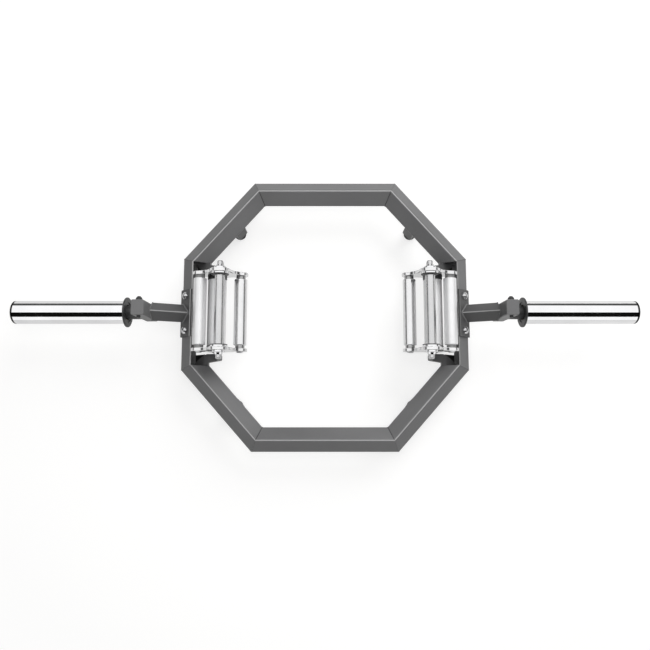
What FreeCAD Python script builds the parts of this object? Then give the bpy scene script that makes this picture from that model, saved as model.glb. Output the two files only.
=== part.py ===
import FreeCAD, Part
import math
import os

os.makedirs("parts", exist_ok=True)
V = FreeCAD.Vector

# Frame: a square tube turned corner-up, bent into an octagon by mitre welds
FRAME_H = 80.0                 # mid-plane of the frame above the floor
TUBE, WALL, TUBE_R = 40.0, 3.0, 5.0
HALF_W, HALF_D = 289.0, 273.5  # centre line of the sides and of the rails
RAIL_E, SIDE_G = 147.5, 114.0  # half length of a rail and of a side

# Handle cassette, positions seen from the axle: inwards, upwards
PLATE_SET, PLATE_T = 35.0, 7.0     # inner face of a plate from the end of the side
PLATE_Y = SIDE_G - PLATE_SET
HUB_R, BUSH_R = 22.0, 13.0
FLANGE_R, FLANGE_T = 18.0, 3.5
WASHER_R, WASHER_T = 18.5, 2.0
GRIPS = {"outer": (-48.0, -31.0, 14.0), "thick": (-15.0, -55.0, 20.0), "inner": (38.0, -45.0, 14.0)}
LOBE_R = {"outer": 16.0, "thick": 19.0, "inner": 16.0}
FLANKS = [38.0, 12.0, 26.0, 38.0]   # hollow arcs of a plate, from the hub to the outer lobe and on round
NECK_L, NECK_R, THICK_NECK_R = 7.0, 10.0, 14.0
COLLAR_L, COLLAR_PROUD = 6.0, 1.0
GRIP_BOLT_R, GRIP_BOLT_IN = 5.0, 18.0
BOLT_HEAD_R, BOLT_HEAD_H, SOCKET_AF = 8.5, 2.2, 6.0

# Axle that carries each handle cassette, and the lugs that hold it
AXLE_IN, AXLE_UP = 67.5, 73.0      # inwards of the side, above the mid-plane
AXLE_X, AXLE_Z = HALF_W - AXLE_IN, FRAME_H + AXLE_UP
AXLE_R, JOURNAL_R, TAIL_R, TAIL_ROUND = 11.0, 8.0, 6.5, 2.5
TAIL_Y = SIDE_G - 10.0
CRADLE_SET, CRADLE_T, CRADLE_W = 19.0, 6.5, 6.3   # the cradle holds the tail from below
LUG_SET, LUG_UP, LUG_DOWN = 24.5, 13.0, 2.0
NUT_R0, NUT_R1 = 13.5, 10.0

# Saddle, arm and upright post on each side
SADDLE_Y, SADDLE_T, SADDLE_LEG = SIDE_G - 62.0, 4.0, 38.0
SADDLE_BOLT_Y, SADDLE_BOLT_R, SADDLE_BOLT_UP = SADDLE_Y - 14.0, 5.0, 20.0
HEX_AF, HEX_H, DOME_R, NUT_H = 15.5, 7.0, 9.3, 6.5
ARM, ARM_R, ARM_RISE = 30.0, 4.0, 0.504
ARM_X0, ARM_Z0 = HALF_W + 9.0, FRAME_H + 3.0
POST_X, POST_LX, POST_LY, POST_R = HALF_W + 95.0, 26.0, 32.0, 3.0
POST_Z0, POST_Z1, CAP_T = FRAME_H - 3.0, FRAME_H + 105.0, 3.0
PIN_Z, PIN_R, PIN_HEAD_R, PIN_HEAD_H, PIN_TAIL = FRAME_H + 93.0, 4.0, 6.5, 8.0, 5.0

# Loading sleeve on its spindle
SLEEVE_Z, SLEEVE_R, SLEEVE_WALL = FRAME_H + 27.0, 25.0, 5.0
STOP_GAP, STOP_T, STOP_R = 29.5, 4.0, 32.5
SLEEVE_L, CAP_L, CAP_PLUG, CAP_GROOVE = 237.0, 5.0, 6.0, 0.8
SPINDLE_R, SPIGOT_R, SPINDLE_SHORT = 15.0, 10.0, 17.5
SCREW_R, SCREW_L, SCREW_HEAD_R, SCREW_HEAD_H = 5.0, 25.0, 8.5, 6.0
SLEEVE_BUSH_L, SLEEVE_BUSH_IN = 22.0, 8.0

# Feet under the diagonals
FOOT_AT, FOOT_IN = 0.414, 6.0      # place along a diagonal, offset inwards
FOOT_L, FOOT_W, FOOT_UNDER = 26.0, 28.0, 6.0
PUCK_R, PUCK_H = 14.0, 16.0

# Clearances
RUN = 0.05       # radial running fit
END = 0.5        # end float
FREE = 2.0       # open gap round a turning piece

PLATE_OUT = PLATE_Y + PLATE_T
AXLE_Y = PLATE_Y - FLANGE_T - WASHER_T - END
CRADLE_Y0 = SIDE_G - CRADLE_SET
CRADLE_Y1 = CRADLE_Y0 + CRADLE_T
GRIP_Y, COLLAR_Y = PLATE_Y - NECK_L, PLATE_Y - COLLAR_L
POST_XI, POST_XO = POST_X - POST_LX / 2, POST_X + POST_LX / 2
STOP_X0 = POST_XO + STOP_GAP
STOP_X1 = STOP_X0 + STOP_T
SLEEVE_X1 = STOP_X1 + SLEEVE_L
CAP_X1, SPINDLE_X1 = SLEEVE_X1 + CAP_L, SLEEVE_X1 - SPINDLE_SHORT
BORE_R = SLEEVE_R - SLEEVE_WALL
TIP = TUBE / math.sqrt(2)                   # sharp half diagonal of the frame tube
HOLLOW = (TUBE - 2 * WALL) / math.sqrt(2)   # and of its inside
BIG = 3 * HALF_W


# Small tools
def save(name, *solids):
    shape = solids[0] if len(solids) == 1 else Part.makeCompound(list(solids))
    shape.exportStep("parts/" + name + ".step")


def turned(shape, axis, angle):
    shape.rotate(V(0, 0, 0), axis, angle)
    return shape


def moved(shape, x, y, z):
    shape.translate(V(x, y, z))
    return shape


def flip_x(shape):
    return shape.mirror(V(0, 0, 0), V(1, 0, 0))


def flip_y(shape):
    return shape.mirror(V(0, 0, 0), V(0, 1, 0))


def rod_x(r, x0, x1, z):
    return Part.makeCylinder(r, x1 - x0, V(x0, 0, z), V(1, 0, 0))


def rod_y(r, y0, y1, x, z):
    return Part.makeCylinder(r, y1 - y0, V(x, y0, z), V(0, 1, 0))


def prism(points, direction):
    return Part.Face(Part.makePolygon(points + points[:1])).extrude(direction)


def hexagon(flat, height):
    r = flat / math.sqrt(3)
    pts = [V(r * math.cos(i * math.pi / 3), r * math.sin(i * math.pi / 3), 0) for i in range(6)]
    return prism(pts, V(0, 0, height))


def softened(shape, size, test):
    return shape.makeFillet(size, [e for e in shape.Edges if test(e)])


def square_bar(side, r, length):
    box = Part.makeBox(length, side, side, V(-length / 2, -side / 2, -side / 2))
    along = [e for e in box.Edges if abs(e.tangentAt(e.FirstParameter).x) > 0.9]
    return turned(box.makeFillet(r, along), V(1, 0, 0), 45)


def square_tube(side, wall, r, length):
    return square_bar(side, r, length).cut(square_bar(side - 2 * wall, r - wall, length + 2))


def laid(shape, p, q):
    turned(shape, V(0, 0, 1), math.degrees(math.atan2(q.y - p.y, q.x - p.x)))
    return moved(shape, (p.x + q.x) / 2, (p.y + q.y) / 2, FRAME_H)


def behind(shape, point, normal):
    half = Part.makeBox(BIG, BIG, BIG, V(-BIG / 2, -BIG / 2, 0)).transformGeometry(
        FreeCAD.Placement(point, FreeCAD.Rotation(V(0, 0, 1), normal)).toMatrix())
    return shape.cut(half)


# Octagon members for the back right quarter, then mirrored
corner_a, corner_b = V(RAIL_E, HALF_D, FRAME_H), V(HALF_W, SIDE_G, FRAME_H)
slant = (corner_b - corner_a).normalize()
mitre_a = (V(1, 0, 0) + slant).normalize()
mitre_b = (slant + V(0, -1, 0)).normalize()

rail = laid(square_tube(TUBE, WALL, TUBE_R, 2 * RAIL_E + 3 * TUBE), V(-RAIL_E, HALF_D, 0), corner_a)
rail = behind(rail, corner_a, mitre_a)
rail = behind(rail, V(-RAIL_E, HALF_D, FRAME_H), V(-mitre_a.x, mitre_a.y, 0))
save("rail_back", rail)
save("rail_front", flip_y(rail))

span = (corner_b - corner_a).Length
diagonal = laid(square_tube(TUBE, WALL, TUBE_R, span + 3 * TUBE), corner_a, corner_b)
diagonal = behind(diagonal, corner_a, mitre_a * -1)
diagonal = behind(diagonal, corner_b, mitre_b)
diagonal = diagonal.cut(Part.makeBox(BIG, BIG, BIG, V(HALF_W - BIG, SIDE_G - BIG, FRAME_H - BIG / 2)))

whole_side = square_tube(TUBE, WALL, TUBE_R, 2 * SIDE_G + 3 * TUBE)
laid(whole_side, V(HALF_W, -SIDE_G, 0), V(HALF_W, SIDE_G, 0))
side = behind(whole_side, V(HALF_W, 0, FRAME_H), V(-1, 0, 0))
side = behind(side, corner_b, mitre_b * -1)
side = behind(side, V(HALF_W, -SIDE_G, FRAME_H), V(-mitre_b.x, mitre_b.y, 0))

# Corner web: the low inner wall of the side tube, left standing at its end only
web = behind(behind(whole_side, V(HALF_W, 0, FRAME_H), V(1, 0, 0)), V(HALF_W, 0, FRAME_H), V(0, 0, 1))
web = behind(behind(web, V(HALF_W, SIDE_G, 0), V(0, 1, 0)), V(HALF_W, SIDE_G - LUG_SET, 0), V(0, -1, 0))

# Gooseneck lug: a plan outline crossed with a side outline, with an open cradle for the axle
root_x = HALF_W - TIP * slant.Length / abs(slant.y) * 0.93
near, far, seat = AXLE_X - CRADLE_W, AXLE_X + CRADLE_W, AXLE_Z - 0.55 * TAIL_R
plan = [(HALF_W, SIDE_G), (HALF_W, SIDE_G - 0.1 * LUG_SET), (HALF_W - 0.25 * TUBE, SIDE_G - 0.5 * LUG_SET),
        (HALF_W - 0.55 * TUBE, SIDE_G - 0.85 * LUG_SET), (HALF_W - 0.8 * TUBE, SIDE_G - LUG_SET),
        (far + 1.4 * CRADLE_W, SIDE_G - LUG_SET), (far + 0.35 * CRADLE_W, CRADLE_Y0), (near, CRADLE_Y0),
        (near, CRADLE_Y1), (root_x, CRADLE_Y1 + CRADLE_T), (root_x, SIDE_G)]
lug_top, lug_low = FRAME_H + LUG_UP, FRAME_H - LUG_DOWN
outline = [(HALF_W, FRAME_H - HOLLOW / 3), (HALF_W - HOLLOW, FRAME_H + HOLLOW / 3), (root_x, lug_top),
           (far + 0.8 * CRADLE_W, lug_top + LUG_UP / 2), (far, FRAME_H + 0.6 * AXLE_UP), (far, seat),
           (near, seat), (AXLE_X + 0.3 * CRADLE_W, lug_top), (AXLE_X + CRADLE_W, lug_low),
           (HALF_W - TIP - LUG_DOWN, lug_low), (HALF_W - TIP, FRAME_H), (HALF_W - HOLLOW, FRAME_H),
           (HALF_W, FRAME_H - HOLLOW)]
lug = prism([V(x, y, 0) for x, y in plan], V(0, 0, BIG)).common(
    prism([V(x, 0, z) for x, z in outline], V(0, BIG, 0)))
lug = lug.cut(rod_y(TAIL_R, 0, 2 * TAIL_Y, AXLE_X, AXLE_Z)).cut(web)

# Saddle: a bent plate over the outer corner of the side channel
saddle_y = 2 * SADDLE_Y
saddle = square_bar(TUBE + 2 * SADDLE_T, TUBE_R + SADDLE_T, saddle_y)
saddle = saddle.cut(square_bar(TUBE, TUBE_R, saddle_y + 2))
saddle = moved(turned(saddle, V(0, 0, 1), 90), HALF_W, 0, FRAME_H)
leg_x = HALF_W + TUBE / math.sqrt(2) - SADDLE_LEG / math.sqrt(2)
for sign in (1, -1):
    tip = V(leg_x, 0, FRAME_H + sign * SADDLE_LEG / math.sqrt(2))
    saddle = behind(saddle, tip, V(-1, 0, sign))
saddle = behind(saddle, V(HALF_W, 0, FRAME_H), V(-1, 0, 0))

# Saddle bolts stand square on the two outer faces, nuts inside the channel
bolt_x = HALF_W + TIP - SADDLE_BOLT_UP / math.sqrt(2)
bolt_up = SADDLE_BOLT_UP / math.sqrt(2)


def on_face(shape, y, sign):
    turned(shape, V(0, 1, 0), 45 if sign > 0 else 135)
    return moved(shape, bolt_x, y, FRAME_H + sign * bolt_up)


bolts, nuts, holes = [], [], []
for sign in (1, -1):
    for y in (SADDLE_BOLT_Y, -SADDLE_BOLT_Y):
        deep = WALL + NUT_H
        shank = Part.makeCylinder(SADDLE_BOLT_R, SADDLE_T + deep + 2, V(0, 0, -deep - 2))
        head = hexagon(HEX_AF, HEX_H).common(Part.makeSphere(DOME_R, V(0, 0, HEX_H - DOME_R)))
        bolts.append(on_face(shank.fuse(moved(head, 0, 0, SADDLE_T)), y, sign))
        nut = moved(hexagon(HEX_AF, NUT_H), 0, 0, -deep)
        nuts.append(on_face(nut.cut(Part.makeCylinder(SADDLE_BOLT_R, 2 * deep, V(0, 0, -1.5 * deep))), y, sign))
        holes.append(on_face(Part.makeCylinder(SADDLE_BOLT_R, 3 * deep, V(0, 0, -1.5 * deep)), y, sign))
for hole in holes:
    side, saddle = side.cut(hole), saddle.cut(hole)

# Arm: coped over the saddle, cut square at the post
arm = square_tube(ARM, WALL, ARM_R, 2 * (POST_X - HALF_W) + 2 * TUBE)
turned(arm, V(0, 1, 0), -math.degrees(math.atan(ARM_RISE)))
moved(arm, ARM_X0, 0, ARM_Z0)
coped = turned(square_bar(TUBE + 2 * SADDLE_T, TUBE_R + SADDLE_T, 2 * SIDE_G), V(0, 0, 1), 90)
moved(coped, HALF_W, 0, FRAME_H)
arm = behind(behind(arm, V(POST_XI, 0, 0), V(1, 0, 0)), V(HALF_W + TUBE / 8, 0, 0), V(-1, 0, 0)).cut(coped)
arm = max(arm.Solids, key=lambda s: s.CenterOfMass.x)

# Post, its cap and its headed cross pin
post = Part.makeBox(POST_LX, POST_LY, POST_Z1 - CAP_T - POST_Z0, V(POST_XI, -POST_LY / 2, POST_Z0))
post = softened(post, POST_R, lambda e: abs(e.tangentAt(e.FirstParameter).z) > 0.9)
post = post.cut(Part.makeBox(POST_LX - 2 * WALL, POST_LY - 2 * WALL, BIG,
                             V(POST_XI + WALL, WALL - POST_LY / 2, POST_Z0 + WALL)))
post = post.cut(rod_x(SPIGOT_R, POST_XO - 1.2 * WALL, POST_XO + WALL, SLEEVE_Z))
post = post.cut(rod_y(PIN_R, -POST_LY, POST_LY, POST_X, PIN_Z))
cap = Part.makeBox(POST_LX, POST_LY, CAP_T, V(POST_XI, -POST_LY / 2, POST_Z1 - CAP_T))
cap = softened(cap, POST_R, lambda e: abs(e.tangentAt(e.FirstParameter).z) > 0.9)
cap = softened(cap, 0.4 * CAP_T, lambda e: e.BoundBox.ZMin > POST_Z1 - 0.01)
pin_y = POST_LY / 2
half_head = 0.5 * PIN_HEAD_H
dome = Part.makeCone(PIN_HEAD_R, 0.5 * PIN_HEAD_R, half_head, V(POST_X, pin_y + half_head, PIN_Z), V(0, 1, 0))
pin = rod_y(PIN_R, -pin_y - PIN_TAIL, pin_y, POST_X, PIN_Z).fuse(
    rod_y(PIN_HEAD_R, pin_y, pin_y + half_head, POST_X, PIN_Z)).fuse(dome)
pin = softened(pin.removeSplitter(), 0.4 * PIN_R, lambda e: e.BoundBox.YMax < -pin_y - PIN_TAIL + 0.01)

# Axle, stepped down to the bush journals and to the tails that lie in the cradles
axle = rod_y(AXLE_R, -AXLE_Y, AXLE_Y, AXLE_X, AXLE_Z)
axle = axle.fuse(rod_y(JOURNAL_R, -PLATE_OUT - END, PLATE_OUT + END, AXLE_X, AXLE_Z))
tail = softened(rod_y(TAIL_R, -TAIL_Y, TAIL_Y, AXLE_X, AXLE_Z), TAIL_ROUND, lambda e: e.BoundBox.YLength < 1)
axle = axle.fuse(tail).removeSplitter()
nut_y = PLATE_OUT + END
nut_step = nut_y + 0.5 * (CRADLE_Y0 - nut_y)
axle_nut = rod_y(NUT_R0, nut_y, nut_step, AXLE_X, AXLE_Z)
axle_nut = softened(axle_nut, 0.08 * NUT_R0, lambda e: e.BoundBox.YMin > nut_y)
axle_nut = axle_nut.fuse(Part.makeCone(NUT_R1, 0.8 * NUT_R1, CRADLE_Y0 - nut_step, V(AXLE_X, nut_step, AXLE_Z),
                                       V(0, 1, 0))).removeSplitter()
axle_nut = axle_nut.cut(rod_y(TAIL_R, 0, 2 * TAIL_Y, AXLE_X, AXLE_Z))


# End plate: round lobes joined by concave arcs that run tangent into both neighbours
def tangent_centre(a, b, r):
    (ax, az, ar), (bx, bz, br) = a, b
    d = math.hypot(bx - ax, bz - az)
    ra, rb = ar + r, br + r
    t = (d * d + ra * ra - rb * rb) / (2 * d)
    h = math.sqrt(ra * ra - t * t)
    ux, uz = (bx - ax) / d, (bz - az) / d
    return ax + t * ux - h * uz, az + t * uz + h * ux


def towards(c, p, r):
    d = math.hypot(p[0] - c[0], p[1] - c[1])
    return c[0] + r * (p[0] - c[0]) / d, c[1] + r * (p[1] - c[1]) / d


def lobed(lobes, flanks, y):
    hollow = [tangent_centre(lobes[i], lobes[(i + 1) % len(lobes)], flanks[i]) for i in range(len(lobes))]
    edges = []
    for i, lobe in enumerate(lobes):
        before, after = hollow[i - 1], hollow[i]
        p, q = towards(lobe, before, lobe[2]), towards(lobe, after, lobe[2])
        a0 = math.atan2(p[1] - lobe[1], p[0] - lobe[0])
        a1 = math.atan2(q[1] - lobe[1], q[0] - lobe[0])
        while a1 > a0:
            a1 -= 2 * math.pi
        am = (a0 + a1) / 2
        mid = (lobe[0] + lobe[2] * math.cos(am), lobe[1] + lobe[2] * math.sin(am))
        edges.append(Part.Arc(*[V(x, y, z) for x, z in (p, mid, q)]).toShape())
        nxt = lobes[(i + 1) % len(lobes)]
        far = towards(nxt, after, nxt[2])
        chord = ((q[0] + far[0]) / 2, (q[1] + far[1]) / 2)
        dip = towards(after, chord, flanks[i])
        edges.append(Part.Arc(*[V(x, y, z) for x, z in (q, dip, far)]).toShape())
    return Part.Face(Part.Wire(Part.__sortEdges__(edges)))


def spot(name):
    inwards, up, r = GRIPS[name]
    return AXLE_X - inwards, AXLE_Z + up, r


lobes = [(AXLE_X, AXLE_Z, HUB_R)] + [spot(n)[:2] + (LOBE_R[n],) for n in ("outer", "thick", "inner")]
plate = lobed(lobes, FLANKS, PLATE_Y).extrude(V(0, PLATE_T, 0))
plate = plate.makeChamfer(0.8, [e for e in plate.Edges if e.BoundBox.YLength < 0.01])
plate = plate.cut(rod_y(BUSH_R, 0, 2 * PLATE_Y, AXLE_X, AXLE_Z))
bush = rod_y(BUSH_R, PLATE_Y, PLATE_OUT, AXLE_X, AXLE_Z).fuse(
    rod_y(FLANGE_R, PLATE_Y - FLANGE_T, PLATE_Y, AXLE_X, AXLE_Z)).removeSplitter()
bush = bush.cut(rod_y(JOURNAL_R + RUN, 0, 2 * PLATE_Y, AXLE_X, AXLE_Z))
flange_y = PLATE_Y - FLANGE_T
washer = softened(rod_y(WASHER_R, flange_y - WASHER_T, flange_y, AXLE_X, AXLE_Z), 0.3 * WASHER_T,
                  lambda e: e.BoundBox.YLength < 0.01)
washer = washer.cut(rod_y(JOURNAL_R + END, 0, 2 * PLATE_Y, AXLE_X, AXLE_Z))

# Grips and their button bolts
grip_solids, collar_solids, grip_bolts = {}, [], []
for name in GRIPS:
    x, z, r = spot(name)
    if name == "thick":
        neck = rod_y(THICK_NECK_R, -PLATE_Y, PLATE_Y, x, z)
        grip = rod_y(r, -COLLAR_Y, COLLAR_Y, x, z).fuse(neck).removeSplitter()
        ring = rod_y(r + COLLAR_PROUD, COLLAR_Y, PLATE_Y, x, z)
        ring = softened(ring, 0.2 * COLLAR_L, lambda e: e.BoundBox.YLength < 0.01)
        ring = ring.cut(rod_y(THICK_NECK_R, 0, 2 * PLATE_Y, x, z))
        collar_solids += [ring, flip_y(ring)]
    else:
        body = softened(rod_y(r, -GRIP_Y, GRIP_Y, x, z), 0.1 * r, lambda e: e.BoundBox.YLength < 0.01)
        grip = body.fuse(rod_y(NECK_R, -PLATE_Y, PLATE_Y, x, z)).removeSplitter()
    hole = rod_y(GRIP_BOLT_R, PLATE_Y - GRIP_BOLT_IN, 2 * PLATE_Y, x, z)
    plate = plate.cut(hole)
    grip_solids[name] = grip.cut(hole).cut(flip_y(hole))
    bolt = rod_y(GRIP_BOLT_R, PLATE_Y - GRIP_BOLT_IN, PLATE_OUT, x, z).fuse(
        Part.makeCone(BOLT_HEAD_R, 0.7 * BOLT_HEAD_R, BOLT_HEAD_H, V(x, PLATE_OUT, z), V(0, 1, 0)))
    socket = moved(turned(hexagon(SOCKET_AF, BIG), V(1, 0, 0), -90), x, PLATE_OUT - 1, z)
    bolt = bolt.removeSplitter().cut(socket)
    grip_bolts += [bolt, flip_y(bolt)]

# Spindle, sleeve, stop collar, end cap and bushes
spindle = rod_x(SPINDLE_R, POST_XO, SPINDLE_X1, SLEEVE_Z).fuse(
    rod_x(SPIGOT_R, POST_XO - WALL, POST_XO, SLEEVE_Z)).removeSplitter()
spindle = spindle.cut(rod_x(SCREW_R, SPINDLE_X1 - SCREW_L, SPINDLE_X1 + WALL, SLEEVE_Z))
screw = rod_x(SCREW_R, SPINDLE_X1 - SCREW_L, SPINDLE_X1, SLEEVE_Z).fuse(
    rod_x(1.2 * SPINDLE_R, SPINDLE_X1, SPINDLE_X1 + WALL, SLEEVE_Z)).fuse(
    rod_x(SCREW_HEAD_R, SPINDLE_X1 + WALL, SPINDLE_X1 + WALL + SCREW_HEAD_H, SLEEVE_Z)).removeSplitter()
stop = softened(rod_x(STOP_R, STOP_X0, STOP_X1, SLEEVE_Z), 0.3 * STOP_T, lambda e: e.BoundBox.XLength < 0.01)
stop = stop.cut(rod_x(SPINDLE_R + FREE, STOP_X0 - STOP_T, STOP_X1 + STOP_T, SLEEVE_Z))
stop = stop.cut(rod_x(BORE_R + FREE, STOP_X0 - STOP_T, STOP_X0 + 0.4 * STOP_T, SLEEVE_Z))
sleeve = rod_x(SLEEVE_R, STOP_X1, SLEEVE_X1, SLEEVE_Z).cut(rod_x(BORE_R, STOP_X0, CAP_X1, SLEEVE_Z))
end_cap = rod_x(SLEEVE_R, SLEEVE_X1, CAP_X1, SLEEVE_Z)
end_cap = softened(end_cap, 0.4 * CAP_L, lambda e: e.BoundBox.XMin > CAP_X1 - 0.01)
end_cap = end_cap.fuse(rod_x(BORE_R, SLEEVE_X1 - CAP_PLUG, SLEEVE_X1, SLEEVE_Z)).removeSplitter()
groove = rod_x(SLEEVE_R + CAP_GROOVE, SLEEVE_X1, SLEEVE_X1 + CAP_GROOVE, SLEEVE_Z).cut(
    rod_x(SLEEVE_R - CAP_GROOVE, STOP_X1, CAP_X1, SLEEVE_Z))
end_cap = end_cap.cut(groove)
sleeve_bushes = []
for x0 in (STOP_X1 + SLEEVE_BUSH_IN, SPINDLE_X1 - END - SLEEVE_BUSH_L):
    ring = rod_x(BORE_R, x0, x0 + SLEEVE_BUSH_L, SLEEVE_Z)
    sleeve_bushes.append(ring.cut(rod_x(SPINDLE_R + RUN, STOP_X0, CAP_X1, SLEEVE_Z)))

# Feet: a bracket block notched to the tube and a rubber puck below it
foot_at = corner_a + (corner_b - corner_a) * FOOT_AT
block = Part.makeBox(FOOT_L, FOOT_W, FRAME_H - FOOT_UNDER - PUCK_H, V(-FOOT_L / 2, -FOOT_W / 2, PUCK_H))
block = softened(block, FOOT_L / 13, lambda e: abs(e.tangentAt(e.FirstParameter).z) > 0.9)
moved(block, 0, -FOOT_IN, 0)
turned(block, V(0, 0, 1), math.degrees(math.atan2(slant.y, slant.x)))
moved(block, foot_at.x, foot_at.y, 0)
block = block.cut(laid(square_bar(TUBE, TUBE_R, span + 2 * TUBE), corner_a, corner_b))
inward = V(slant.y, -slant.x, 0)
puck = Part.makeCylinder(PUCK_R, PUCK_H, V(0, 0, 0))
puck = softened(puck, PUCK_H / 8, lambda e: e.BoundBox.ZLength < 0.01 and e.BoundBox.ZMin < 1)
moved(puck, foot_at.x + inward.x * FOOT_IN, foot_at.y + inward.y * FOOT_IN, 0)


def four(shape):
    return [shape, flip_x(shape), flip_y(shape), flip_x(flip_y(shape))]


# Write the pieces of both halves
for name, flip in (("right", lambda s: s), ("left", flip_x)):
    for piece, shape in (("diagonal", diagonal), ("axle_lug", lug)):
        save(f"{piece}_back_{name}", flip(shape))
        save(f"{piece}_front_{name}", flip(flip_y(shape)))
    for piece, shape in (("side_channel", side), ("saddle", saddle), ("arm", arm), ("post", post),
                         ("post_cap", cap), ("axle", axle), ("spindle", spindle), ("spindle_screw", screw),
                         ("sleeve", sleeve), ("sleeve_collar", stop), ("sleeve_cap", end_cap),
                         ("plate_back", plate)):
        save(f"{piece}_{name}", flip(shape))
    save(f"plate_front_{name}", flip(flip_y(plate)))
    for grip, shape in grip_solids.items():
        save(f"grip_{grip}_{name}", flip(shape))
    for piece, group in (("axle_nuts", [axle_nut, flip_y(axle_nut)]), ("hub_bushes", [bush, flip_y(bush)]),
                         ("hub_washers", [washer, flip_y(washer)]),
                         ("thick_grip_collars", collar_solids), ("grip_bolts", grip_bolts),
                         ("sleeve_bushes", sleeve_bushes)):
        save(f"{piece}_{name}", *[flip(s) for s in group])
for piece, group in (("saddle_bolts", bolts), ("saddle_nuts", nuts), ("post_pins", [pin])):
    save(piece, *(group + [flip_x(s) for s in group]))
save("corner_webs", *four(web))
save("foot_brackets", *four(block))
save("rubber_feet", *four(puck))
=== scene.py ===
# %% [markdown]
# # A hex trap bar, dressed for its portrait
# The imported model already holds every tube, grip and bolt in its true place. This lesson adds
# what bare solids lack: weld seams, powder coat, chrome and rubber, and a small studio round
# them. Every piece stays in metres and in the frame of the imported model, so nothing is fitted
# by eye.

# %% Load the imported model
import math

import bpy
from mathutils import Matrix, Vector


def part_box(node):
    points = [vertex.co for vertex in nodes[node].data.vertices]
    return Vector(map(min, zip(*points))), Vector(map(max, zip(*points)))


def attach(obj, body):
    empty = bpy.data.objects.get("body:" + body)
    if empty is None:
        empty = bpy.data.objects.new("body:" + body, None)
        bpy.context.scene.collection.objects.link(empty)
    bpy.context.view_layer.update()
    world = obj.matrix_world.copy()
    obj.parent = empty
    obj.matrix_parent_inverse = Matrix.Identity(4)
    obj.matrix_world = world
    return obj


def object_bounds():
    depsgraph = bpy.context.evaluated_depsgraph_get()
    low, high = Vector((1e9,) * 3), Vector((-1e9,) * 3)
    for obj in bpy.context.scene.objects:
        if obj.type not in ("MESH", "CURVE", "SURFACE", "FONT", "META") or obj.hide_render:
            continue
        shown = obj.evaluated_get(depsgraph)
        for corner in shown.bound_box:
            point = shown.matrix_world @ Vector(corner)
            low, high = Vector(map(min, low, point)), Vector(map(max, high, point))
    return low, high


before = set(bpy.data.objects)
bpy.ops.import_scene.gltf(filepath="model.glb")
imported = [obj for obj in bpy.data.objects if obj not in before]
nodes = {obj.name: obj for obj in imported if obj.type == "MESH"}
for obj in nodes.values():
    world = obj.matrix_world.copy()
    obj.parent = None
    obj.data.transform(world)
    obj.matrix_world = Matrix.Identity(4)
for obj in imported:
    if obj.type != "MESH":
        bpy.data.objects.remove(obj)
cad_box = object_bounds()

# %% [markdown]
# ## Sizes that the seams and the painted highlights follow
# Seams sit on edges of the solids, and highlights are painted along their ridges. The lesson could
# search the meshes for those edges. It is simpler to repeat the few lengths that place them,
# which are the driving sizes of the frame, here in metres.

# %% Sizes of the frame
FRAME_H = 0.080                  # mid-plane of the frame above the floor
TUBE, TUBE_R = 0.040, 0.005      # frame tube, and the round of its corners
HALF_W, HALF_D = 0.289, 0.2735   # centre lines of the sides and of the rails
RAIL_E, SIDE_G = 0.1475, 0.114   # half length of a rail and of a side
SADDLE_T = 0.004                 # thickness of a saddle plate
ARM, ARM_R = 0.030, 0.004        # arm tube, and the round of its corners
ARM_X0, ARM_Z0 = 0.298, 0.083    # a point of the arm's centre line, inside the saddle
ARM_RISE = 0.504                 # rise of an arm for each metre outwards
POST_XI = 0.371                  # inner face of a post
GRIP_SHOULDER = 0.072            # where a grip steps down to its neck
COS_45 = math.sqrt(0.5)
TUBE_TOP = FRAME_H + TUBE * COS_45 - TUBE_R * (math.sqrt(2) - 1)
SADDLE_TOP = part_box("saddle_left")[1][2]
SLEEVE_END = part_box("sleeve_cap_right")[1][0]
print("ridge of the tube at", round(TUBE_TOP * 1000, 2), "mm")


# %% Outline of a tube set corner-up
def rounded_square(side, r, steps=4):
    """Outline of a square with round corners, turned corner-up, as (across, up) pairs."""
    flat = side / 2 - r
    outline = []
    for quarter in range(4):
        for step in range(steps + 1):
            a = math.radians(90 * quarter + 90 * step / steps)
            cx = flat if quarter in (0, 3) else -flat
            cy = flat if quarter in (0, 1) else -flat
            x, y = cx + r * math.cos(a), cy + r * math.sin(a)
            outline.append(((x - y) * COS_45, (x + y) * COS_45))
    return outline


print("points round a tube:", len(rounded_square(TUBE, TUBE_R)))

# %% [markdown]
# ## Node helpers
# Shader and geometry trees are both built from small steps: add a node, set its plain values,
# link its sockets. Two helpers keep those steps to one line each.


# %% Add and link nodes
def add(tree, kind, values=None, **settings):
    node = tree.nodes.new(kind)
    for key, value in settings.items():
        setattr(node, key, value)
    for key, value in (values or {}).items():
        node.inputs[key].default_value = value
    return node


def link(tree, *pairs):
    for source, target in pairs:
        tree.links.new(source, target)


def effect(name, outputs, **inputs):
    """An empty shader group with named inputs and outputs, and its two end nodes."""
    group = bpy.data.node_groups.new(name, "ShaderNodeTree")
    for label, value in inputs.items():
        kind = "NodeSocketVector" if isinstance(value, tuple) else "NodeSocketFloat"
        group.interface.new_socket(label, in_out="INPUT", socket_type=kind).default_value = value
    for label in outputs:
        group.interface.new_socket(label, in_out="OUTPUT", socket_type="NodeSocketFloat")
    return group, add(group, "NodeGroupInput"), add(group, "NodeGroupOutput")


print("helpers:", add.__name__, link.__name__, effect.__name__)
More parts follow.
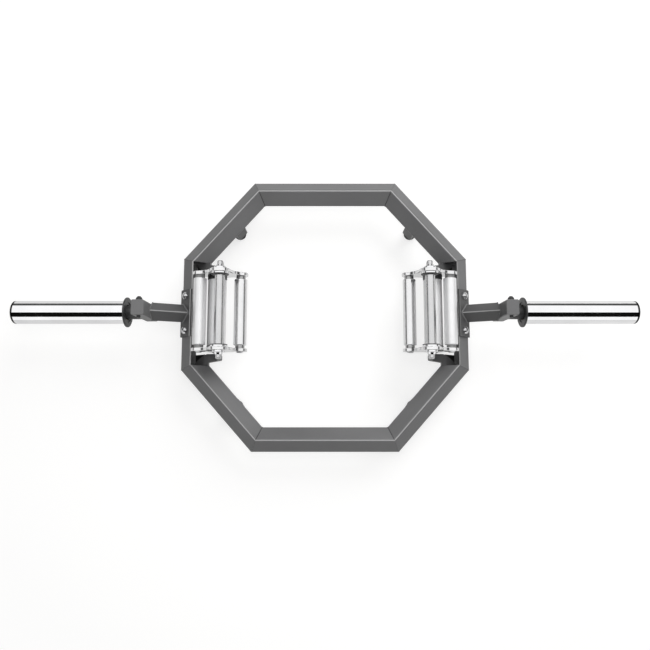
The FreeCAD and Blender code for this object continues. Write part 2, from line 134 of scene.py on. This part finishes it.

# %% [markdown]
# ## Powder coat
# The frame is powder coated: the powder melts into a skin of fine pebbles whose tone drifts
# slowly. A picture could carry this, but noise on Object coordinates has no seams and no limit
# of sharpness. It is a group: grey coat, dark coat, near-black painted shade and rubber use it.

# %% Pebbled coat
coat, given, result = effect("pebbled_coat", ["Tone", "Height"], Pebble=900.0, Drift=9.0)
place = add(coat, "ShaderNodeTexCoord")
pebble = add(coat, "ShaderNodeTexNoise", {"Detail": 2.0, "Roughness": 0.55})
drift = add(coat, "ShaderNodeTexNoise", {"Detail": 3.0, "Roughness": 0.5})
link(coat,
     (place.outputs["Object"], pebble.inputs["Vector"]),
     (place.outputs["Object"], drift.inputs["Vector"]),
     (given.outputs["Pebble"], pebble.inputs["Scale"]),
     (given.outputs["Drift"], drift.inputs["Scale"]),
     (drift.outputs["Fac"], result.inputs["Tone"]),
     (pebble.outputs["Fac"], result.inputs["Height"]))
print("effect:", coat.name)

# %% [markdown]
# ## Turned steel
# Grips, axles and sleeves come from a lathe, which leaves rings round them. Noise that is
# stretched across the axis gives those rings, and a second, larger noise gives the smudges left
# by hands. The stretch is an input, because some pieces lie along X and others along Y.

# %% Turned rings
turned, given, result = effect("turned_rings", ["Tone", "Height"],
                               Stretch=(1.0, 1.0, 1.0), Fineness=400.0)
place = add(turned, "ShaderNodeTexCoord")
stretch = add(turned, "ShaderNodeVectorMath", operation="MULTIPLY")
rings = add(turned, "ShaderNodeTexNoise", {"Detail": 3.0, "Roughness": 0.6})
smudge = add(turned, "ShaderNodeTexNoise", {"Scale": 14.0, "Detail": 4.0, "Roughness": 0.6})
link(turned,
     (place.outputs["Object"], stretch.inputs[0]),
     (given.outputs["Stretch"], stretch.inputs[1]),
     (stretch.outputs[0], rings.inputs["Vector"]),
     (given.outputs["Fineness"], rings.inputs["Scale"]),
     (place.outputs["Object"], smudge.inputs["Vector"]),
     (smudge.outputs["Fac"], result.inputs["Tone"]),
     (rings.outputs["Fac"], result.inputs["Height"]))
print("effect:", turned.name)

# %% [markdown]
# ## Painted bands of light and shade
# The ridge of a tube gets a painted highlight: a pale line where its round would catch the light.
# Pointiness would find any edge, but it depends on the mesh. Here the mask is the distance from
# the middle along one axis, which holds for both halves of the bar at once. The same mask paints
# shade on the necks of the grips, and a dark band on the rims of the sleeves.

# %% Painted band of light or shade
painted_band, given, result = effect("painted_light_band", ["Mask"],
                             Along=(0.0, 0.0, 1.0), Sign=1.0, From=0.0, To=1.0)
place = add(painted_band, "ShaderNodeTexCoord")
reach = add(painted_band, "ShaderNodeVectorMath", operation="DOT_PRODUCT")
size = add(painted_band, "ShaderNodeMath", operation="ABSOLUTE")
signed = add(painted_band, "ShaderNodeMath", operation="MULTIPLY")
band = add(painted_band, "ShaderNodeMapRange")
link(painted_band,
     (place.outputs["Object"], reach.inputs[0]),
     (given.outputs["Along"], reach.inputs[1]),
     (reach.outputs["Value"], size.inputs[0]),
     (size.outputs[0], signed.inputs[0]),
     (given.outputs["Sign"], signed.inputs[1]),
     (signed.outputs[0], band.inputs["Value"]),
     (given.outputs["From"], band.inputs["From Min"]),
     (given.outputs["To"], band.inputs["From Max"]),
     (band.outputs[0], result.inputs["Mask"]))
ALONG_X, ALONG_Y, UP = (1, 0, 0), (0, 1, 0), (0, 0, 1)


def band_place(along, start, end, sign=1.0):
    """Inputs of a painted band. With sign -1 the mask lies near the middle, not far from it."""
    return {"Along": along, "Sign": sign, "From": start, "To": end}


print("effect:", painted_band.name)

# %% [markdown]
# ## One finish from an effect
# Every finish is made alike: a colour that drifts between two tones, a roughness that drifts
# with it, and a faint bump. One function keeps them alike, and a finish is then a short list of
# numbers. Metallic is the same all over a piece, so it stays on the shader itself.

# %% Finish
RELIEF = 0.0002                  # depth of the bump, in metres
TONE_SPAN = {"From Min": 0.35, "From Max": 0.65}
GLOSS_SPAN = {"From Min": 0.3, "From Max": 0.7}


def finish(name, group, values, dark, light, rough, bump,
           metallic=0.0, painted_at=None, painted_tone=0.42):
    mat = bpy.data.materials.new(name)
    mat.use_nodes = True
    tree = mat.node_tree
    skin = tree.nodes["Principled BSDF"]
    skin.name = "skin"
    skin.inputs["Metallic"].default_value = metallic
    surface = add(tree, "ShaderNodeGroup", values, node_tree=group)
    tone = add(tree, "ShaderNodeMapRange", TONE_SPAN)
    colour = add(tree, "ShaderNodeMix", {6: (*dark, 1.0), 7: (*light, 1.0)}, data_type="RGBA")
    gloss = add(tree, "ShaderNodeMapRange", {**GLOSS_SPAN, "To Min": rough[0], "To Max": rough[1]})
    relief = add(tree, "ShaderNodeBump", {"Strength": bump, "Distance": RELIEF})
    base = colour.outputs[2]
    # Painted highlight or shade: inside the band mask the colour gives way to one flat tone.
    if painted_at:
        band_mask = add(tree, "ShaderNodeGroup", painted_at, node_tree=painted_band)
        band_tone = (painted_tone, painted_tone, painted_tone, 1.0)
        band_mix = add(tree, "ShaderNodeMix", {7: band_tone}, data_type="RGBA")
        link(tree, (band_mask.outputs["Mask"], band_mix.inputs["Factor"]), (base, band_mix.inputs[6]))
        base = band_mix.outputs[2]
    link(tree,
         (surface.outputs["Tone"], tone.inputs["Value"]),
         (tone.outputs[0], colour.inputs["Factor"]),
         (base, skin.inputs["Base Color"]),
         (surface.outputs["Tone"], gloss.inputs["Value"]),
         (gloss.outputs[0], skin.inputs["Roughness"]),
         (surface.outputs["Height"], relief.inputs["Height"]),
         (relief.outputs["Normal"], skin.inputs["Normal"]))
    return mat


print("each finish has a bump of at most", RELIEF * 1000, "mm")

# %% [markdown]
# ## Coats of the frame
# The tubes are a mid grey, and the arms and saddles a darker one. Tubes, sides, arms and saddles
# have their ridges at different heights, so each gets its own painted highlight. The right side
# and its saddle get a dimmer painted highlight than the left ones, as less light falls there.

# %% Powder coats
grey_coat = dict(group=coat, values={"Pebble": 900.0, "Drift": 7.0}, rough=(0.36, 0.46), bump=0.12,
                 dark=(0.14, 0.14, 0.142), light=(0.165, 0.165, 0.167))
dark_coat = dict(grey_coat, dark=(0.063, 0.063, 0.064), light=(0.083, 0.083, 0.084))
# Painted highlights: a pale line along each ridge stands in for the light its round catches.
tube_highlight = band_place(UP, TUBE_TOP - 0.00016, TUBE_TOP - 0.00004)
side_highlight = band_place(UP, TUBE_TOP - 0.0011, TUBE_TOP - 0.0006)
saddle_highlight = band_place(UP, SADDLE_TOP - 0.0010, SADDLE_TOP - 0.0005)
arm_highlight = band_place(ALONG_Y, -0.0016, -0.0006, sign=-1.0)
paint = finish("grey_powder_coat", **grey_coat)
dark_paint = finish("dark_powder_coat", **dark_coat)
tube_paint = finish("grey_coat_painted_ridge_highlight", **grey_coat, painted_at=tube_highlight)
side_paint = finish("grey_coat_painted_side_highlight", **grey_coat, painted_at=side_highlight)
# Right side: dimmer copies of the painted highlight, for the less light that falls there.
faint_side = finish("grey_coat_dim_side_highlight", **grey_coat, painted_at=side_highlight, painted_tone=0.24)
arm_paint = finish("dark_coat_painted_arm_highlight", **dark_coat, painted_at=arm_highlight, painted_tone=0.3)
saddle_paint = finish("dark_coat_painted_saddle_highlight", **dark_coat, painted_at=saddle_highlight)
faint_saddle = finish("dark_coat_dim_saddle_highlight", **dark_coat, painted_at=saddle_highlight, painted_tone=0.17)
print("coats:", len(bpy.data.materials))

# %% [markdown]
# ## Chrome of the sleeves, grips and plates
# The sleeves are polished like a mirror, with a dark rim at the outer end. The inner grips are
# satin, the others frosted by a fine knurl that is too small to model, so a part of their light
# is scattered: a lower Metallic does that more simply than thousands of cut diamonds. Where a
# grip steps down to its neck, painted shade darkens it.

# %% Chrome
rings_x, rings_y = (1.0, 0.03, 0.03), (0.03, 1.0, 0.03)
mirror = dict(group=turned, values={"Stretch": rings_x, "Fineness": 900.0}, rough=(0.05, 0.11),
              bump=0.02, dark=(0.86, 0.86, 0.87), light=(0.92, 0.92, 0.93), metallic=1.0)
# A near-black band round the outer rim of the sleeve caps.
sleeve_rim_band = band_place(ALONG_X, SLEEVE_END - 0.0048, SLEEVE_END - 0.0044)
# Painted shade: the necks of the grips are darkened where shade falls between grip and plate.
neck_shade = band_place(ALONG_Y, GRIP_SHOULDER + 0.0002, GRIP_SHOULDER + 0.0006)
chrome = finish("polished_chrome", **mirror)
cap_chrome = finish("cap_chrome", **mirror, painted_at=sleeve_rim_band, painted_tone=0.03)
satin = finish("satin_chrome", turned, {"Stretch": rings_y, "Fineness": 700.0},
               dark=(0.8, 0.8, 0.805), light=(0.88, 0.88, 0.885), rough=(0.15, 0.22),
               bump=0.05, metallic=1.0, painted_at=neck_shade, painted_tone=0.4)
frosted = finish("frosted_chrome", turned, {"Stretch": rings_y, "Fineness": 700.0},
                 dark=(0.86, 0.86, 0.865), light=(0.94, 0.94, 0.945), rough=(0.34, 0.42),
                 bump=0.05, metallic=0.45, painted_at=neck_shade, painted_tone=0.3)
plate_chrome = finish("plate_chrome", turned, {"Stretch": rings_x, "Fineness": 700.0},
                      dark=(0.8, 0.8, 0.805), light=(0.88, 0.88, 0.885), rough=(0.08, 0.14),
                      bump=0.04, metallic=1.0)
print("chrome:", [m.name for m in (chrome, cap_chrome, satin, frosted, plate_chrome)])

# %% [markdown]
# ## Plain metals and rubber
# Axles are bare steel, stop collars and brackets are blackened, bolts are zinc plated and the
# hidden bushes are bronze. The corner webs are near black as painted shade; the feet are rubber.
# They differ only in tone and gloss, so the two effects above serve them all.

# %% Steel, zinc, bronze and rubber
all_ways = (0.4, 0.4, 0.4)
plain_steel = finish("plain_steel", turned, {"Stretch": rings_y, "Fineness": 700.0},
                     dark=(0.64, 0.64, 0.645), light=(0.72, 0.72, 0.725), rough=(0.2, 0.28),
                     bump=0.05, metallic=1.0)
black_steel = finish("blackened_steel", turned, {"Stretch": rings_x, "Fineness": 600.0},
                     dark=(0.04, 0.04, 0.041), light=(0.06, 0.06, 0.061), rough=(0.32, 0.45),
                     bump=0.08, metallic=0.3)
zinc = finish("zinc_plate", turned, {"Stretch": all_ways, "Fineness": 900.0},
              dark=(0.6, 0.6, 0.61), light=(0.75, 0.75, 0.76), rough=(0.22, 0.36),
              bump=0.08, metallic=1.0)
bronze = finish("oiled_bronze", turned, {"Stretch": rings_x, "Fineness": 500.0},
                dark=(0.38, 0.24, 0.1), light=(0.48, 0.32, 0.15), rough=(0.3, 0.42),
                bump=0.08, metallic=1.0)
# Near black: painted shade on the corner webs in the pockets, and the tone of the inner tacks.
near_black = finish("near_black_shade_and_tacks", coat, {"Pebble": 700.0, "Drift": 20.0},
             dark=(0.008, 0.008, 0.008), light=(0.018, 0.018, 0.018), rough=(0.6, 0.75), bump=0.2)
rubber = finish("black_rubber", coat, {"Pebble": 500.0, "Drift": 30.0},
                dark=(0.012, 0.012, 0.012), light=(0.022, 0.022, 0.022), rough=(0.62, 0.78),
                bump=0.3)
print("others:", [m.name for m in (plain_steel, black_steel, zinc, bronze, near_black, rubber)])

# %% [markdown]
# ## Each solid gets its finish
# The names of the solids say what they are, so a short table of name beginnings is enough. The
# first row that fits wins, and the last row fits everything.

# %% Hand out the finishes
FINISH_OF = [
    ("sleeve_bushes", bronze), ("sleeve_collar", black_steel), ("sleeve_cap", cap_chrome),
    ("sleeve_", chrome), ("spindle_screw", zinc), ("spindle", black_steel),
    ("thick_grip_collars", black_steel), ("grip_bolts", zinc), ("grip_inner", satin),
    ("grip_", frosted), ("plate_", plate_chrome), ("hub_bushes", chrome),
    ("hub_washers", black_steel), ("axle_lug", dark_paint), ("axle_nuts", chrome),
    ("axle_", plain_steel), ("rubber", rubber), ("foot_brackets", black_steel),
    # the corner webs take near black as painted shade
    ("post_pins", black_steel), ("corner_webs", near_black), ("saddle_bolts", zinc),
    ("saddle_nuts", zinc), ("saddle_right", faint_saddle), ("saddle_", saddle_paint),
    ("rail", tube_paint), ("diagonal", tube_paint), ("side_channel_right", faint_side),
    ("side_channel", side_paint), ("arm_", arm_paint), ("", paint)]
for name, solid in nodes.items():
    for slot in solid.material_slots:
        slot.material = next(mat for start, mat in FINISH_OF if name.startswith(start))
print("dressed", len(nodes), "solids")

# %% [markdown]
# ## Weld seams
# A welder lays a bead of overlapping drops along every joint, and the coat softens it. The bead
# repeats along a path, which is work for Geometry Nodes: resample the path, set one flattened
# drop on each point, realise them all and give them the paint. The drops are many, so each has
# only a few dozen faces.


# %% Weld seam tree
def seam_tree():
    tree = bpy.data.node_groups.new("weld_seam", "GeometryNodeTree")
    for label, kind in (("Path", "Geometry"), ("Drop Radius", "Float"),
                        ("Drop Spacing", "Float"), ("Finish", "Material")):
        tree.interface.new_socket(label, in_out="INPUT", socket_type="NodeSocket" + kind)
    tree.interface.new_socket("Seam", in_out="OUTPUT", socket_type="NodeSocketGeometry")
    given, result = add(tree, "NodeGroupInput"), add(tree, "NodeGroupOutput")
    spaced = add(tree, "GeometryNodeResampleCurve", mode="LENGTH")
    drop = add(tree, "GeometryNodeMeshUVSphere", {"Segments": 8, "Rings": 5})
    soft = add(tree, "GeometryNodeSetShadeSmooth")
    line = add(tree, "GeometryNodeInputTangent")
    aim = add(tree, "FunctionNodeAlignEulerToVector", axis="Z")
    stamp = add(tree, "GeometryNodeInstanceOnPoints", {"Scale": (1.0, 1.0, 0.75)})
    real = add(tree, "GeometryNodeRealizeInstances")
    coat_it = add(tree, "GeometryNodeSetMaterial")
    link(tree,
         (given.outputs["Path"], spaced.inputs["Curve"]),
         (given.outputs["Drop Spacing"], spaced.inputs["Length"]),
         (given.outputs["Drop Radius"], drop.inputs["Radius"]),
         (drop.outputs["Mesh"], soft.inputs["Geometry"]),
         (spaced.outputs["Curve"], stamp.inputs["Points"]),
         (soft.outputs["Geometry"], stamp.inputs["Instance"]),
         (line.outputs["Tangent"], aim.inputs["Vector"]),
         (aim.outputs["Rotation"], stamp.inputs["Rotation"]),
         (stamp.outputs["Instances"], real.inputs["Geometry"]),
         (real.outputs["Geometry"], coat_it.inputs["Geometry"]),
         (given.outputs["Finish"], coat_it.inputs["Material"]),
         (coat_it.outputs["Geometry"], result.inputs["Seam"]))
    return tree


weld_seam = seam_tree()
print("tree:", weld_seam.name, "with", len(weld_seam.nodes), "nodes")


# %% Lay a seam along paths
def lay_seam(name, paths, drop, spacing, skin):
    """Runs the weld tree over open or closed paths and returns one plain mesh object."""
    curve = bpy.data.curves.new(name + "_paths", "CURVE")
    curve.dimensions = "3D"
    for points, closed in paths:
        spline = curve.splines.new("POLY")
        spline.points.add(len(points) - 1)
        for target, point in zip(spline.points, points):
            target.co = (*point, 1.0)
        spline.use_cyclic_u = closed
    guide = bpy.data.objects.new(name + "_guide", curve)
    bpy.context.collection.objects.link(guide)
    modifier = guide.modifiers.new("seam", "NODES")
    modifier.node_group = weld_seam
    values = {"Drop Radius": drop, "Drop Spacing": spacing, "Finish": skin}
    for item in weld_seam.interface.items_tree:
        if item.in_out == "INPUT" and item.name in values:
            modifier[item.identifier] = values[item.name]
    bpy.context.view_layer.update()
    ready = guide.evaluated_get(bpy.context.evaluated_depsgraph_get())
    mesh = bpy.data.meshes.new_from_object(ready)
    mesh.name = name
    mesh.materials.pop(index=0)  # the curve brings an empty slot, and the finish comes after it
    piece = bpy.data.objects.new(name, mesh)
    bpy.context.collection.objects.link(piece)
    bpy.data.objects.remove(guide)
    in_use = {mesh.materials[face.material_index].name for face in mesh.polygons}
    print(name, "faces:", len(mesh.polygons), "finish:", in_use)
    return piece


# %% [markdown]
# ## Seams at the mitres
# Where two tubes meet at an angle, the outline of the tube is stretched across the joint, so the
# path is that outline laid on the mitre plane. It runs from the bottom to the top on one side,
# because the outer half is welded smooth and the inner half only tacked, and because the side
# channels have no inner half. In y each path point stays one drop inside the box of the solids.
# No drop may reach past the box of the solids.

# %% Paths at the mitres
MITRE_DROP, INNER_DROP, ARM_DROP, POST_DROP = 0.0008, 0.0012, 0.0021, 0.0012
REACH_Y = cad_box[1][1] - MITRE_DROP
ON_RIDGE = 0.0005                # points this near the ridge belong to neither side


def mitre_path(corner, before, after, side):
    """Open path from the bottom to the top of a mitre, on its outer (1) or inner (-1) side."""
    before, after = Vector(before).normalized(), Vector(after).normalized()
    across = (before - after).normalized()
    grow = 1.0 / abs(across.cross(before).z)
    outwards = across if across.dot(Vector(corner)) > 0 else -across
    half = [p for p in rounded_square(TUBE, TUBE_R) if p[0] * side > ON_RIDGE]
    place_at = Vector((corner[0], corner[1], FRAME_H))
    points = [place_at + outwards * (u * grow) + Vector((0, 0, w))
              for u, w in sorted(half, key=lambda p: p[1])]
    return [(p.x, max(-REACH_Y, min(REACH_Y, p.y)), p.z) for p in points], False


outer_seams, inner_seams = [], []
for sx in (1, -1):
    for sy in (1, -1):
        rail_end, side_end = (sx * RAIL_E, sy * HALF_D, 0), (sx * HALF_W, sy * SIDE_G, 0)
        along_rail, along_side = (sx, 0, 0), (0, -sy, 0)
        slant = (sx * (HALF_W - RAIL_E), sy * (SIDE_G - HALF_D), 0)
        outer_seams.append(mitre_path(rail_end, along_rail, slant, 1))
        inner_seams.append(mitre_path(rail_end, along_rail, slant, -1))
        outer_seams.append(mitre_path(side_end, slant, along_side, 1))
print("mitre seams:", len(outer_seams), "outside,", len(inner_seams), "inside")

# %% [markdown]
# ## Seams round the arms
# An arm is cut to fit over its saddle, and the bead follows that curved cut. Each point of the
# arm's outline is slid along the arm until it leaves the saddle, which halving the distance
# finds without any formula for the curve. At the post the cut is flat.


# %% Paths round the arms
def inside_saddle(point):
    side, r = TUBE + 2 * SADDLE_T, TUBE_R + SADDLE_T
    u, w = point.x - HALF_W, point.z - FRAME_H
    a, b = abs(u + w) * COS_45, abs(u - w) * COS_45
    da, db = a - side / 2 + r, b - side / 2 + r
    return math.hypot(max(da, 0), max(db, 0)) + min(max(da, db), 0) - r < 0


def arm_paths(search=0.08, halvings=30):
    """Closed paths where the right arm meets its saddle and its post."""
    angle = math.atan(ARM_RISE)
    axis = Vector((math.cos(angle), 0, math.sin(angle)))
    up = Vector((-math.sin(angle), 0, math.cos(angle)))
    root, at_saddle, at_post = Vector((ARM_X0, 0, ARM_Z0)), [], []
    for u, w in rounded_square(ARM, ARM_R):
        start = root + Vector((0, u, 0)) + up * w
        low, high = 0.0, search
        for _ in range(halvings):
            middle = (low + high) / 2
            if inside_saddle(start + axis * middle):
                low = middle
            else:
                high = middle
        at_saddle.append(tuple(start + axis * high))
        at_post.append(tuple(start + axis * ((POST_XI - start.x) / axis.x)))
    return at_saddle, at_post


arm_seams, post_seams = [], []
for sx in (1, -1):
    for seams, path in zip((arm_seams, post_seams), arm_paths()):
        seams.append(([(sx * x, y, z) for x, y, z in path], True))
print("arm seams:", len(arm_seams), "at the saddles,", len(post_seams), "at the posts")

# %% [markdown]
# ## Laying the seams
# All seams belong to the welded frame, so they ride on its body. The tacks inside the mitres
# stand apart and stay dark, and the other beads overlap and carry the grey coat.

# %% Weld seams on the frame
mitre_welds = lay_seam("mitre_welds", outer_seams, MITRE_DROP, spacing=0.0008, skin=paint)
inner_welds = lay_seam("inner_welds", inner_seams, INNER_DROP, spacing=0.0030, skin=near_black)
arm_welds = lay_seam("arm_welds", arm_seams, ARM_DROP, spacing=0.0017, skin=paint)
post_welds = lay_seam("post_welds", post_seams, POST_DROP, spacing=0.0011, skin=paint)
for welds in (mitre_welds, inner_welds, arm_welds, post_welds):
    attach(welds, "frame")

# %% [markdown]
# ## Floor
# The bar lies on a plain pale floor that runs out to white. More light would bleach the bar as
# well, so the floor is a quiet grey that keeps the shadow, and a glow that only the camera and
# mirrors see lifts it to white. The glow grows with distance, which hides the horizon.


# %% Pale floor
def flat_sheet(name, x, y, z, skin):
    """A level rectangle between two limits in x and in y."""
    mesh = bpy.data.meshes.new(name)
    corners = [(x[0], y[0], z), (x[1], y[0], z), (x[1], y[1], z), (x[0], y[1], z)]
    mesh.from_pydata(corners, [], [(0, 1, 2, 3)])
    mesh.materials.append(skin)
    sheet = bpy.data.objects.new(name, mesh)
    bpy.context.collection.objects.link(sheet)
    return sheet


FLOOR_REACH, FLOOR_DROP = 6.0, 0.0003
MIRROR_GLOW = 0.42
NEAR_AND_FAR = {"From Min": 0.9, "From Max": 3.0, "To Min": 0.67, "To Max": 0.9}
pale = bpy.data.materials.new("pale_floor")
pale.use_nodes = True
tree = pale.node_tree
ground = tree.nodes["Principled BSDF"]
ground.inputs["Base Color"].default_value = (0.42, 0.418, 0.413, 1.0)
ground.inputs["Roughness"].default_value = 0.9
ground.inputs["Specular IOR Level"].default_value = 0.1
rays = add(tree, "ShaderNodeLightPath")
shiny = add(tree, "ShaderNodeMath", operation="ADD", use_clamp=True)
by_mirror = add(tree, "ShaderNodeMath", {1: MIRROR_GLOW}, operation="MULTIPLY")
amount = add(tree, "ShaderNodeMath", operation="MULTIPLY_ADD")
spot = add(tree, "ShaderNodeTexCoord")
away = add(tree, "ShaderNodeVectorMath", operation="LENGTH")
fade = add(tree, "ShaderNodeMapRange", NEAR_AND_FAR)
lift = add(tree, "ShaderNodeEmission")
both = add(tree, "ShaderNodeAddShader")
link(tree,
     (rays.outputs["Is Glossy Ray"], shiny.inputs[0]),
     (rays.outputs["Is Transmission Ray"], shiny.inputs[1]),
     (shiny.outputs[0], by_mirror.inputs[0]),
     (spot.outputs["Object"], away.inputs[0]),
     (away.outputs["Value"], fade.inputs["Value"]),
     (rays.outputs["Is Camera Ray"], amount.inputs[0]),
     (fade.outputs[0], amount.inputs[1]),
     (by_mirror.outputs[0], amount.inputs[2]),
     (amount.outputs[0], lift.inputs["Strength"]),
     (ground.outputs[0], both.inputs[0]),
     (lift.outputs[0], both.inputs[1]),
     (both.outputs[0], tree.nodes["Material Output"].inputs["Surface"]))
floor = flat_sheet("floor", (-FLOOR_REACH, FLOOR_REACH), (-FLOOR_REACH, FLOOR_REACH), -FLOOR_DROP, pale)
print("floor reaches", FLOOR_REACH, "m each way")

# %% [markdown]
# ## Lamps
# One wide lamp stands behind the bar and to the right, so the faces that look to the back are
# the brighter ones. A small one overhead fills the inside of the frame. Both are hidden from
# mirrors, because the chrome gets its own room to reflect.


# %% Key and fill
def lamp(name, at, aim, side, power):
    light = bpy.data.lights.new(name, "AREA")
    light.shape, light.size, light.size_y, light.energy = "RECTANGLE", side, side, power
    holder = bpy.data.objects.new(name, light)
    holder.location = at
    holder.rotation_euler = (Vector(aim) - Vector(at)).to_track_quat("-Z", "Y").to_euler()
    holder.visible_glossy = False
    bpy.context.collection.objects.link(holder)
    print(name, power, "W")
    return holder


key = lamp("key_lamp", at=(1.25, 2.0, 1.85), aim=(0, 0, 0.1), side=2.2, power=60)
fill = lamp("fill_lamp", at=(0, 0, 1.5), aim=(0, 0, 0), side=0.6, power=6)
fill.visible_camera = False

# %% [markdown]
# ## A room for the chrome
# Chrome shows what stands round it. A picture of a studio would do, but a few tones by height
# are enough: pale low walls, a dark band above them and a bright ceiling give each round piece
# its crisp stripes. Only mirrors see this room. The camera sees plain white, and everything
# else gets an even soft light.

# %% Room tones
SOFT_LIGHT, ROOM_LIGHT, FRONT_TONE = 0.39, 1.1, 0.95
world = bpy.data.worlds.new("studio")
bpy.context.scene.world = world
world.use_nodes = True
tree = world.node_tree


def wall(stops):
    """Tones of a wall by height, from the horizon (0) to straight up (1)."""
    ramp = add(tree, "ShaderNodeValToRGB")
    for position, grey in stops:
        ramp.color_ramp.elements.new(position).color = (grey, grey, grey, 1)
    ramp.color_ramp.elements.remove(ramp.color_ramp.elements[0])
    ramp.color_ramp.elements.remove(ramp.color_ramp.elements[-1])
    return ramp


way = add(tree, "ShaderNodeTexCoord")
parts = add(tree, "ShaderNodeSeparateXYZ")
side_wall = wall([(0.0, 0.8), (0.1, 0.6), (0.17, 0.08), (0.4, 0.08), (0.5, 0.9), (1.0, 1.0)])
back_wall = wall([(0.0, 0.03), (0.28, 0.06), (0.4, 0.6), (0.5, 1.0), (1.0, 1.0)])
to_back = add(tree, "ShaderNodeMapRange", {"From Min": 0.3, "From Max": 0.7})
to_front = add(tree, "ShaderNodeMapRange", {"From Min": -0.2, "From Max": -0.6})
with_back = add(tree, "ShaderNodeMix", data_type="RGBA")
front = (FRONT_TONE, FRONT_TONE, FRONT_TONE, 1.0)
room = add(tree, "ShaderNodeMix", {7: front}, data_type="RGBA")
link(tree,
     (way.outputs["Generated"], parts.inputs[0]),
     (parts.outputs["Z"], side_wall.inputs["Fac"]),
     (parts.outputs["Z"], back_wall.inputs["Fac"]),
     (parts.outputs["Y"], to_back.inputs["Value"]),
     (parts.outputs["Y"], to_front.inputs["Value"]),
     (to_back.outputs[0], with_back.inputs["Factor"]),
     (side_wall.outputs["Color"], with_back.inputs[6]),
     (back_wall.outputs["Color"], with_back.inputs[7]),
     (to_front.outputs[0], room.inputs["Factor"]),
     (with_back.outputs[2], room.inputs[6]))
print("walls:", len(side_wall.color_ramp.elements), "and", len(back_wall.color_ramp.elements), "tones")

# %% Who sees the room
WHITE = (1.0, 1.0, 1.0, 1.0)
soft = tree.nodes["Background"]
soft.inputs["Color"].default_value = WHITE
soft.inputs["Strength"].default_value = SOFT_LIGHT
mirrored = add(tree, "ShaderNodeBackground", {"Strength": ROOM_LIGHT})
white = add(tree, "ShaderNodeBackground", {"Color": WHITE, "Strength": 1.0})
rays = add(tree, "ShaderNodeLightPath")
shiny = add(tree, "ShaderNodeMath", operation="ADD", use_clamp=True)
pick_shiny = add(tree, "ShaderNodeMixShader")
pick_camera = add(tree, "ShaderNodeMixShader")
link(tree,
     (room.outputs[2], mirrored.inputs["Color"]),
     (rays.outputs["Is Glossy Ray"], shiny.inputs[0]),
     (rays.outputs["Is Transmission Ray"], shiny.inputs[1]),
     (shiny.outputs[0], pick_shiny.inputs[0]),
     (soft.outputs[0], pick_shiny.inputs[1]),
     (mirrored.outputs[0], pick_shiny.inputs[2]),
     (rays.outputs["Is Camera Ray"], pick_camera.inputs[0]),
     (pick_shiny.outputs[0], pick_camera.inputs[1]),
     (white.outputs[0], pick_camera.inputs[2]),
     (pick_camera.outputs[0], tree.nodes["World Output"].inputs["Surface"]))
print("soft light", SOFT_LIGHT, "room", ROOM_LIGHT)

# %% [markdown]
# ## Dark card
# The sleeves show one black stripe along their length. Photographers hang a black card over
# polished metal to get it, and so does this scene. The card is hidden from the camera and
# throws no shadow.

# %% Card over the front
black = bpy.data.materials.new("card_black")
black.use_nodes = True
card_skin = black.node_tree.nodes["Principled BSDF"]
card_skin.inputs["Base Color"].default_value = (0.012, 0.012, 0.012, 1.0)
card_skin.inputs["Specular IOR Level"].default_value = 0.0
card = flat_sheet("dark_card", (-4.0, 4.0), (-3.2, -0.33), 2.5, black)
card.visible_camera = card.visible_diffuse = card.visible_shadow = False
print("card over y", [round(corner.co.y, 2) for corner in card.data.vertices][1:3])

# %% [markdown]
# ## Camera
# The photograph looks down almost straight, a little from the front. The camera's place, tilt
# and focal length come from fitting the corners of the frame to the photograph, which is 650
# pixels wide. The Standard view transform keeps the colours as they are written.

# %% Camera at the photograph's angle
IMAGE_W, FOCAL_PX, SENSOR = 650.0, 600.0, 36.0
CAMERA_FRONT, CAMERA_UP, CAMERA_TILT = 0.1868, 1.3164, 7.04
camera_data = bpy.data.cameras.new("camera")
camera_data.sensor_width = SENSOR
camera_data.lens = FOCAL_PX / IMAGE_W * SENSOR
camera = bpy.data.objects.new("camera", camera_data)
camera.location = (0.0, -CAMERA_FRONT, CAMERA_UP + FRAME_H)
camera.rotation_euler = (math.radians(CAMERA_TILT), 0.0, 0.0)
bpy.context.collection.objects.link(camera)
bpy.context.scene.camera = camera
bpy.context.scene.view_settings.view_transform = "Standard"
print("camera lens", round(camera_data.lens, 2), "mm")
